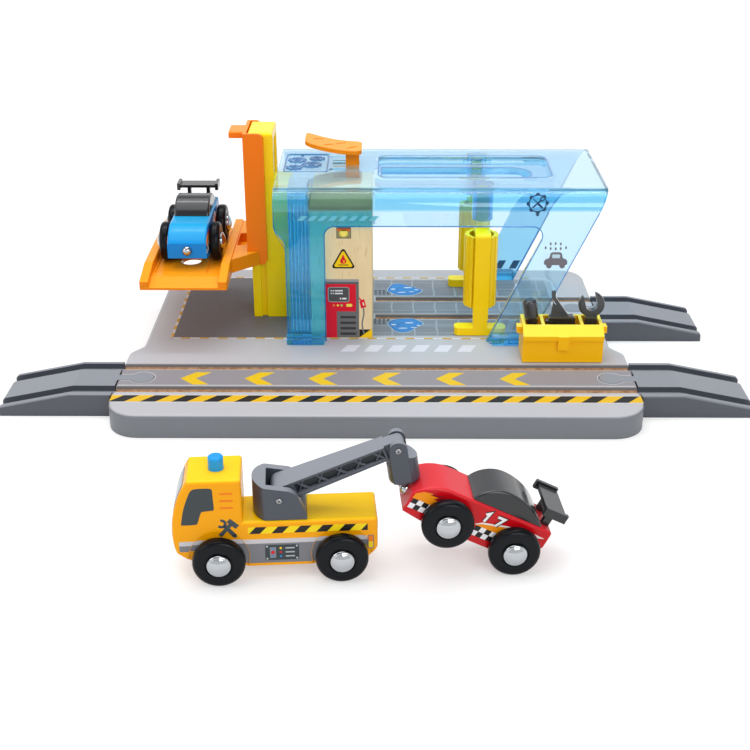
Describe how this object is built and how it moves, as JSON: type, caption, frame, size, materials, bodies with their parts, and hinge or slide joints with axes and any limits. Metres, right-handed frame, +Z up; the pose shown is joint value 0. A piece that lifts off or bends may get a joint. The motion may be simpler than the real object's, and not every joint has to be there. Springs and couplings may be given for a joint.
{
  "type": "toy garage playset",
  "caption": "Toy garage on a track board with clear canopy, car lift, brush wash, tool box, ramps, crane truck and two cars.",
  "frame": {"origin": "centre of the board's underside, on the floor", "axes": "+X to the right along the tracks, +Y to the back, +Z up"},
  "size_m": [0.3778, 0.3221, 0.1175],
  "materials": {
    "board_paint": "satin painted fibreboard",
    "ramp_plastic": "satin",
    "clear_blue": "clear, polished",
    "beech": "satin",
    "orange_plastic": "gloss",
    "yellow_plastic": "gloss",
    "steel_pin": "satin",
    "tool_plastic": "satin",
    "truck_paint": "gloss paint",
    "beacon_blue": "gloss",
    "crane_plastic": "satin",
    "magnet_chrome": "polished",
    "wheel_black": "gloss",
    "red_paint": "gloss paint",
    "blue_paint": "gloss paint",
    "cabin_black": "gloss"
  },
  "bodies": {
    "garage": {"base_board": "board_paint", "canopy": "clear_blue", "ribbed_column": "clear_blue", "fuel_block": "beech", "lift_tower": "yellow_plastic", "front_brush_bracket": "yellow_plastic", "front_brush_spindle": "steel_pin", "rear_brush_bracket": "yellow_plastic", "rear_brush_spindle": "steel_pin"},
    "front_left_ramp": {"front_left_ramp": "ramp_plastic"},
    "front_right_ramp": {"front_right_ramp": "ramp_plastic"},
    "rear_ramp": {"rear_ramp": "ramp_plastic"},
    "paddle": {"paddle": "orange_plastic"},
    "lift": {"lift_carriage": "orange_plastic", "lift_platform": "orange_plastic"},
    "front_roller": {"front_brush_roller": "yellow_plastic"},
    "rear_roller": {"rear_brush_roller": "yellow_plastic"},
    "toolbox": {"toolbox": "yellow_plastic"},
    "screwdriver": {"screwdriver": "tool_plastic"},
    "jack": {"jack": "tool_plastic"},
    "wrench": {"wrench": "tool_plastic"},
    "blue_car": {"blue_car_body": "blue_paint", "blue_car_cabin": "cabin_black", "blue_car_spoiler": "cabin_black", "blue_car_nose_magnet": "magnet_chrome"},
    "blue_front_wheels": {"blue_car_front_axle": "steel_pin", "blue_car_front_wheels": "wheel_black", "blue_car_front_hubs": "magnet_chrome"},
    "blue_rear_wheels": {"blue_car_rear_axle": "steel_pin", "blue_car_rear_wheels": "wheel_black", "blue_car_rear_hubs": "magnet_chrome"},
    "truck": {"truck_body": "truck_paint", "beacon": "beacon_blue"},
    "truck_front_wheels": {"truck_front_axle": "steel_pin", "truck_front_wheels": "wheel_black", "truck_front_hubs": "magnet_chrome"},
    "truck_rear_wheels": {"truck_rear_axle": "steel_pin", "truck_rear_wheels": "wheel_black", "truck_rear_hubs": "magnet_chrome"},
    "turret": {"turret": "crane_plastic", "boom_pin": "steel_pin"},
    "boom": {"boom": "crane_plastic", "head_pin": "steel_pin"},
    "magnet_head": {"magnet_head": "crane_plastic", "crane_magnet": "magnet_chrome"},
    "red_car": {"red_car_body": "red_paint", "red_car_cabin": "cabin_black", "red_car_spoiler": "cabin_black", "red_car_nose_magnet": "magnet_chrome"},
    "red_front_wheels": {"red_car_front_axle": "steel_pin", "red_car_front_wheels": "wheel_black", "red_car_front_hubs": "magnet_chrome"},
    "red_rear_wheels": {"red_car_rear_axle": "steel_pin", "red_car_rear_wheels": "wheel_black", "red_car_rear_hubs": "magnet_chrome"}
  },
  "joints": [
    {"name": "front_left_ramp_lift", "type": "slide", "parent": "garage", "child": "front_left_ramp", "axis": [0, 0, 1], "range_m": [0, 0.03]},
    {"name": "front_right_ramp_lift", "type": "slide", "parent": "garage", "child": "front_right_ramp", "axis": [0, 0, 1], "range_m": [0, 0.03]},
    {"name": "rear_ramp_lift", "type": "slide", "parent": "garage", "child": "rear_ramp", "axis": [0, 0, 1], "range_m": [0, 0.03]},
    {"name": "paddle_slide", "type": "slide", "parent": "garage", "child": "paddle", "axis": [-1, 0, 0], "range_m": [0, 0.007]},
    {"name": "lift_slide", "type": "slide", "parent": "garage", "child": "lift", "axis": [0, 0, 1], "range_m": [-0.032, 0]},
    {"name": "front_roller_spin", "type": "hinge", "parent": "garage", "child": "front_roller", "pos_m": [0.0562, 0.0095, 0.046], "axis": [0, 0, 1], "continuous": true},
    {"name": "rear_roller_spin", "type": "hinge", "parent": "garage", "child": "rear_roller", "pos_m": [0.0562, 0.0641, 0.046], "axis": [0, 0, 1], "continuous": true},
    {"name": "toolbox_lift", "type": "slide", "parent": "garage", "child": "toolbox", "axis": [0, 0, 1], "range_m": [0, 0.02]},
    {"name": "screwdriver_lift", "type": "slide", "parent": "toolbox", "child": "screwdriver", "axis": [0, 0, 1], "range_m": [0, 0.02]},
    {"name": "jack_lift", "type": "slide", "parent": "toolbox", "child": "jack", "axis": [0, 0, 1], "range_m": [0, 0.02]},
    {"name": "wrench_lift", "type": "slide", "parent": "toolbox", "child": "wrench", "axis": [0, 0, 1], "range_m": [0, 0.02]},
    {"name": "blue_car_roll", "type": "slide", "parent": "lift", "child": "blue_car", "axis": [0, -1, 0], "range_m": [-0.006, 0.014]},
    {"name": "blue_front_spin", "type": "hinge", "parent": "blue_car", "child": "blue_front_wheels", "pos_m": [-0.10175, 0.021, 0.0581], "axis": [1, 0, 0], "continuous": true},
    {"name": "blue_rear_spin", "type": "hinge", "parent": "blue_car", "child": "blue_rear_wheels", "pos_m": [-0.10175, 0.0513, 0.0581], "axis": [1, 0, 0], "continuous": true},
    {"name": "truck_roll", "type": "slide", "parent": "garage", "child": "truck", "axis": [-0.9974, -0.0718, 0], "range_m": [-0.02, 0.06]},
    {"name": "truck_front_spin", "type": "hinge", "parent": "truck", "child": "truck_front_wheels", "pos_m": [-0.06177, -0.20574, 0.0105], "axis": [-0.0718, 0.9974, 0], "continuous": true},
    {"name": "truck_rear_spin", "type": "hinge", "parent": "truck", "child": "truck_rear_wheels", "pos_m": [-0.01345, -0.20226, 0.0105], "axis": [-0.0718, 0.9974, 0], "continuous": true},
    {"name": "turret_turn", "type": "hinge", "parent": "truck", "child": "turret", "pos_m": [-0.03753, -0.20399, 0.028], "axis": [0, 0, 1], "range_deg": [-100, 100]},
    {"name": "boom_lift", "type": "hinge", "parent": "turret", "child": "boom", "pos_m": [-0.03753, -0.20399, 0.0351], "axis": [0.0718, -0.9974, 0], "range_deg": [0, 30]},
    {"name": "head_swing", "type": "hinge", "parent": "boom", "child": "magnet_head", "pos_m": [0.00908, -0.20064, 0.05342], "axis": [-0.0718, 0.9974, 0], "range_deg": [-30, 3]},
    {"name": "red_car_release", "type": "slide", "parent": "truck", "child": "red_car", "axis": [0.9974, 0.0718, 0], "range_m": [0, 0.03]},
    {"name": "red_front_spin", "type": "hinge", "parent": "red_car", "child": "red_front_wheels", "pos_m": [0.02807, -0.19927, 0.0244], "axis": [-0.0718, 0.9974, 0], "continuous": true},
    {"name": "red_rear_spin", "type": "hinge", "parent": "red_car", "child": "red_rear_wheels", "pos_m": [0.05493, -0.19733, 0.0105], "axis": [-0.0718, 0.9974, 0], "continuous": true}
  ]
}
